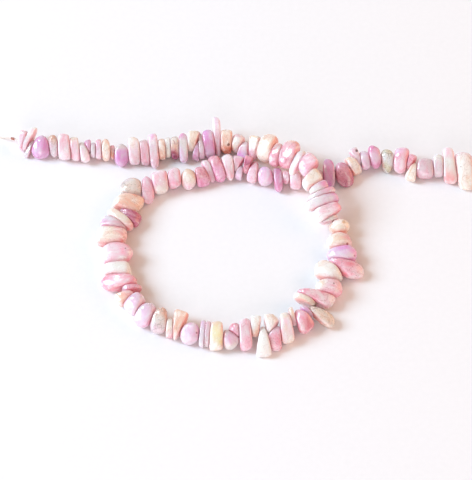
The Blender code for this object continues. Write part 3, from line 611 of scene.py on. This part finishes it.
def paint_chip(mesh, points, cell, number, chip, random_number):
    """Lays the chip's tints, with painted shade in its seams, its grain and its iron spot on its
    points.
    """
    across = (points @ cell.across - (chip.left - chip.right) / 2) * 2 / (chip.left + chip.right)
    drift = np.zeros(len(points))
    for _ in range(4):
        wave = np.array([random_number.gauss(0, 0.7) for _ in range(3)])
        drift += 0.12 * np.sin(points @ wave + random_number.uniform(0, math.tau))
    toward = across + drift
    colours = [np.array(linear(TINTS[tint])) for tint in chip.tints.split()]
    to_left = np.clip((toward - 0.05) / 0.75, 0, 1)[:, None]
    to_right = np.clip((-toward - 0.05) / 0.75, 0, 1)[:, None]
    to_left, to_right = (share * share * (3 - 2 * share) for share in (to_left, to_right))
    tint = colours[0] * to_left + colours[1] * (1 - to_left - to_right) + colours[2] * to_right
    # Painted shade: near the planes shared with the neighbours, the tint is darkened to rose for
    # the shade that falls in the seams.
    planes = (cell.behind, cell.ahead)
    pressed = np.maximum(*[points @ normal / distance for normal, distance in planes])
    blush = np.clip((pressed - 0.6) / 0.4, 0, 1)[:, None]
    tint = tint * (1 - blush + blush * np.array(linear(SEAM_SHADE_ROSE)))
    own_place = np.array([random_number.uniform(0, 90) for _ in range(3)])
    grain = points @ np.array([cell.across, cell.upright, cell.along]).T + own_place
    spot = SPOTS.get(number, Spot(0, 0, 0.001, "FFFFFF"))
    half_length, middle = (chip.left + chip.right) / 2, (chip.left - chip.right) / 2
    spot_x, spot_z = spot.across * half_length + middle, spot.along * chip.thickness / 2
    aim = own_place + (spot_x, ABOVE_CHIP, spot_z)
    on_top = np.abs(grain - aim) * (1, 0.3, 1)
    centre = grain[np.linalg.norm(on_top, axis=1).argmin()]
    centre = np.array([aim[0], centre[1], aim[2]])
    values = {
        "tint": ("FLOAT_COLOR", "color", tint),
        "grain": ("FLOAT_VECTOR", "vector", grain),
        "spot": ("FLOAT_VECTOR", "vector", np.repeat([centre], len(points), 0)),
        "spot_radius": ("FLOAT", "value", np.full(len(points), spot.radius)),
        "spot_tint": ("FLOAT_COLOR", "color", np.repeat([linear(spot.tint)], len(points), 0)),
    }
    for name, (kind, field, data) in values.items():
        mesh.attributes.new(name, kind, "POINT").data.foreach_set(field, np.ravel(data))


def node_of(number):
    """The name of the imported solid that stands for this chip, alone or in a run."""
    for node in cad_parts:
        words = node.split("_")
        if words[0] == "chip" and int(words[1]) == number:
            return node
        if words[0] == "chips" and int(words[1]) <= number <= int(words[3]):
            return node


at, lean = FIRST_CHIP_AT, FIRST_SEAM
for number, chip in enumerate(CHIPS, 1):
    cell = chip_cell(at, chip.thickness, chip.roll, lean, chip.seam)
    at, lean = at + chip.thickness, chip.seam
    name = f"kunzite_chip_{number:03d}"
    piece = bpy.data.objects.new(name, chip_mesh(name, number, chip, cell))
    bpy.context.scene.collection.objects.link(piece)
    piece.data.materials.append(STONES[chip.finish])
    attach(piece, "root")
    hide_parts(node_of(number))
last_chip_at = at


# The thread: thin off-white cotton, three plies twisted together, that runs through every chip and
# holds them tight. It is knotted outside the first and the last chip, and its ends are cut off.
PLIES = 3
PLY_RADIUS = 0.1
TWIST_PITCH = 1.4
PLY_SIDES = 6
ROUTE_STEP = 0.22
KNOT_AWAY = 2.2
KNOT_TURNS = 3
KNOT_LENGTH = 1.2
KNOT_TURN_RADIUS = 0.27
KNOT_STEP = 0.02
KNOT_HANDLING = 0.8
# Cotton fibres are about 0.02 mm wide, too fine to show, so they are drawn coarser than life.
FIBRE_SIZE = 0.05
WORN_SIZE = 3


def thread_points(start, end, wound=0):
    """Points along the thread's route, wound about it for a knot's turns."""
    steps = round((end - start) / (ROUTE_STEP if not wound else KNOT_STEP))
    points = []
    for step in range(steps + 1):
        at = start + (end - start) * step / steps
        forwards = heading(at)
        left = Vector((0, 0, 1)).cross(forwards).normalized()
        turn = math.tau * wound * step / steps
        offset = math.cos(turn) * left + math.sin(turn) * forwards.cross(left)
        points.append(place(at) + offset * (KNOT_TURN_RADIUS if wound else 0))
    return points


def twisted_thread(plies, ply_radius, pitch, sides, material):
    """Copies each spline into plies that wind about it, and gives them their thickness."""
    tree = bpy.data.node_groups.new("twisted_thread", "GeometryNodeTree")
    tree.interface.new_socket("Geometry", in_out="INPUT", socket_type="NodeSocketGeometry")
    sizes = {}
    kinds = {"Plies": "Int", "Ply Radius": "Float", "Pitch": "Float", "Sides": "Int"}
    for name, kind in kinds.items():
        socket_type = f"NodeSocket{kind}"
        sizes[name] = tree.interface.new_socket(name, in_out="INPUT", socket_type=socket_type)
    tree.interface.new_socket("Geometry", in_out="OUTPUT", socket_type="NodeSocketGeometry")
    given = tree.nodes.new("NodeGroupInput").outputs
    route = add(tree, "GeometryNodeMeshToCurve", {"Mesh": given["Geometry"]})
    doubled = add(tree, "GeometryNodeDuplicateElements", {
        "Geometry": route.outputs["Curve"], "Amount": given["Plies"],
    }, domain="SPLINE")
    along = add(tree, "GeometryNodeSplineParameter").outputs["Length"]
    turns = add(tree, "ShaderNodeMath", {0: along, 1: given["Pitch"]}, operation="DIVIDE")
    share = add(tree, "ShaderNodeMath", {
        0: doubled.outputs["Duplicate Index"], 1: given["Plies"],
    }, operation="DIVIDE")
    total = add(tree, "ShaderNodeMath", {0: turns.outputs[0], 1: share.outputs[0]})
    angle = add(tree, "ShaderNodeMath", {0: total.outputs[0], 1: math.tau}, operation="MULTIPLY")
    forwards = add(tree, "GeometryNodeInputTangent").outputs["Tangent"]
    normal = add(tree, "GeometryNodeInputNormal").outputs["Normal"]
    out = add(tree, "ShaderNodeVectorRotate", {
        "Vector": normal, "Axis": forwards, "Angle": angle.outputs[0],
    }, rotation_type="AXIS_ANGLE")
    reach = add(tree, "ShaderNodeVectorMath", {
        0: out.outputs["Vector"], "Scale": given["Ply Radius"],
    }, operation="SCALE")
    wound = add(tree, "GeometryNodeSetPosition", {
        "Geometry": doubled.outputs["Geometry"], "Offset": reach.outputs["Vector"],
    })
    ring = add(tree, "GeometryNodeCurvePrimitiveCircle", {
        "Resolution": given["Sides"], "Radius": given["Ply Radius"],
    })
    ply = add(tree, "GeometryNodeCurveToMesh", {
        "Curve": wound.outputs["Geometry"], "Profile Curve": ring.outputs["Curve"],
        "Fill Caps": True,
    })
    smooth = add(tree, "GeometryNodeSetShadeSmooth", {"Geometry": ply.outputs["Mesh"]})
    real = add(tree, "GeometryNodeRealizeInstances", {"Geometry": smooth.outputs["Geometry"]})
    finished = add(tree, "GeometryNodeSetMaterial", {
        "Geometry": real.outputs["Geometry"], "Material": material,
    })
    result = add(tree, "NodeGroupOutput")
    tree.links.new(finished.outputs["Geometry"], result.inputs["Geometry"])
    values = {"Plies": plies, "Ply Radius": ply_radius * MM, "Pitch": pitch * MM, "Sides": sides}
    return tree, {sizes[name].identifier: value for name, value in values.items()}


def twisted_cotton():
    """Cotton thread: matt, off-white, with fine fibres, and reddish where its knots are handled."""
    material = bpy.data.materials.new("twisted_cotton_thread")
    material.use_nodes = True
    tree = material.node_tree
    shader = tree.nodes["Principled BSDF"]
    place_on_thread = add(tree, "ShaderNodeTexCoord").outputs["Object"]
    fibre = add(tree, "ShaderNodeTexNoise", {
        "Vector": place_on_thread, "Scale": 1 / (FIBRE_SIZE * MM), "Detail": 2,
    })
    worn = add(tree, "ShaderNodeTexNoise", {
        "Vector": place_on_thread, "Scale": 1 / (WORN_SIZE * MM), "Detail": 1,
    })
    body = add(tree, "ShaderNodeMix", {
        "Factor": fibre.outputs["Fac"], 6: linear("D9C4B2"), 7: linear("F6EFE8"),
    }, data_type="RGBA")
    patches = add(tree, "ShaderNodeMapRange", {
        "Value": worn.outputs["Fac"], "From Min": 0.5, "From Max": 0.75, "To Max": 0.5,
    })
    rubbed = add(tree, "ShaderNodeMix", {
        "Factor": patches.outputs["Result"], 6: body.outputs[2], 7: linear("E9B59C"),
    }, data_type="RGBA")
    knotted = add(tree, "ShaderNodeAttribute", attribute_name="knotted").outputs["Fac"]
    handled = add(tree, "ShaderNodeMix", {
        "Factor": knotted, 6: rubbed.outputs[2], 7: linear("B8644E"),
    }, data_type="RGBA")
    tree.links.new(handled.outputs[2], shader.inputs["Base Color"])
    bump = add(tree, "ShaderNodeBump", {
        "Strength": 0.5, "Distance": 0.03 * MM, "Height": fibre.outputs["Fac"],
    })
    tree.links.new(bump.outputs["Normal"], shader.inputs["Normal"])
    shader.inputs["Roughness"].default_value = 0.9
    shader.inputs["Sheen Weight"].default_value = 0.3
    return material


knots = (FIRST_CHIP_AT - KNOT_AWAY, last_chip_at + KNOT_AWAY)
runs = [thread_points(0, ALONG[-1])]
for knot in knots:
    runs.append(thread_points(knot - KNOT_LENGTH / 2, knot + KNOT_LENGTH / 2, KNOT_TURNS))
points, edges, knotted = [], [], []
for run in runs:
    edges += [(len(points) + k, len(points) + k + 1) for k in range(len(run) - 1)]
    points += [point * MM for point in run]
    knotted += [0.0 if run is runs[0] else KNOT_HANDLING] * len(run)
route_mesh = bpy.data.meshes.new("thread_route")
route_mesh.from_pydata(points, edges, [])
route_mesh.attributes.new("knotted", "FLOAT", "POINT").data.foreach_set("value", knotted)
thread = bpy.data.objects.new("chip_strand_thread", route_mesh)
bpy.context.scene.collection.objects.link(thread)
twist = thread.modifiers.new("twist", "NODES")
cotton = twisted_cotton()
twist.node_group, values = twisted_thread(PLIES, PLY_RADIUS, TWIST_PITCH, PLY_SIDES, cotton)
for identifier, value in values.items():
    twist[identifier] = value
seen = bpy.context.evaluated_depsgraph_get()
thread_mesh = bpy.data.meshes.new_from_object(thread.evaluated_get(seen))
thread.modifiers.remove(twist)
thread.data = thread_mesh
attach(thread, "root")
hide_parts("thread")


# The floor under the strand: plain white card with a matt coat, laid flat. It is only the stage,
# and isn't part of the strand.
FLOOR_SIZE = 4000
CARD_FIBRE = 1.5


def white_card():
    """Matt coated card: nearly white, with a faint unevenness."""
    material = bpy.data.materials.new("matt_white_card")
    material.use_nodes = True
    tree = material.node_tree
    shader = tree.nodes["Principled BSDF"]
    place_on_card = add(tree, "ShaderNodeTexCoord").outputs["Object"]
    pulp = add(tree, "ShaderNodeTexNoise", {
        "Vector": place_on_card, "Scale": 1 / (CARD_FIBRE * MM), "Detail": 3,
    })
    tone = add(tree, "ShaderNodeMix", {
        "Factor": pulp.outputs["Fac"], 6: linear("F3F2F3"), 7: linear("F8F7F8"),
    }, data_type="RGBA")
    tree.links.new(tone.outputs[2], shader.inputs["Base Color"])
    shader.inputs["Roughness"].default_value = 0.65
    shader.inputs["Specular IOR Level"].default_value = 0.25
    return material


half = FLOOR_SIZE / 2 * MM
card_mesh = bpy.data.meshes.new("card")
corners = [(-half, -half, 0), (half, -half, 0), (half, half, 0), (-half, half, 0)]
card_mesh.from_pydata(corners, [], [(0, 1, 2, 3)])
card_mesh.materials.append(white_card())
card = bpy.data.objects.new("card", card_mesh)
bpy.context.scene.collection.objects.link(card)


# The light: a large cool window on the left gives the shadows. A weaker warm wall on the right and
# a wall in front fill them, and a weak warm world fills the rest.
def soft_light(name, position, size, power, hex_colour):
    """A square soft light, aimed at the middle of the strand."""
    light = bpy.data.lights.new(name, "AREA")
    light.shape = "SQUARE"
    light.size = size * MM
    light.energy = power
    light.color = linear(hex_colour)[:3]
    lamp = bpy.data.objects.new(name, light)
    lamp.location = Vector(position) * MM
    lamp.rotation_euler = (-Vector(position)).to_track_quat("-Z", "Y").to_euler()
    bpy.context.scene.collection.objects.link(lamp)
    return lamp


soft_light("window", (-1750, 250, 1100), 1000, 53.0, "CFECFF")
soft_light("warm_wall", (1500, 500, 700), 1200, 12.5, "FFB888")
soft_light("front_wall", (-250, -1500, 420), 1100, 12.0, "FFEEF6")
# A small roof light is hidden from diffuse light, so it hardly lights the floor. It is there for
# the crisp highlight on each polished stone.
soft_light("roof_light", (-900, 950, 1400), 170, 14.0, "FFFFFF").visible_diffuse = False
world = bpy.data.worlds.new("studio")
world.use_nodes = True
bpy.context.scene.world = world
world.node_tree.nodes["Background"].inputs["Color"].default_value = linear("FFF0E2")
world.node_tree.nodes["Background"].inputs["Strength"].default_value = 0.44
bpy.context.scene.view_settings.view_transform = "Standard"
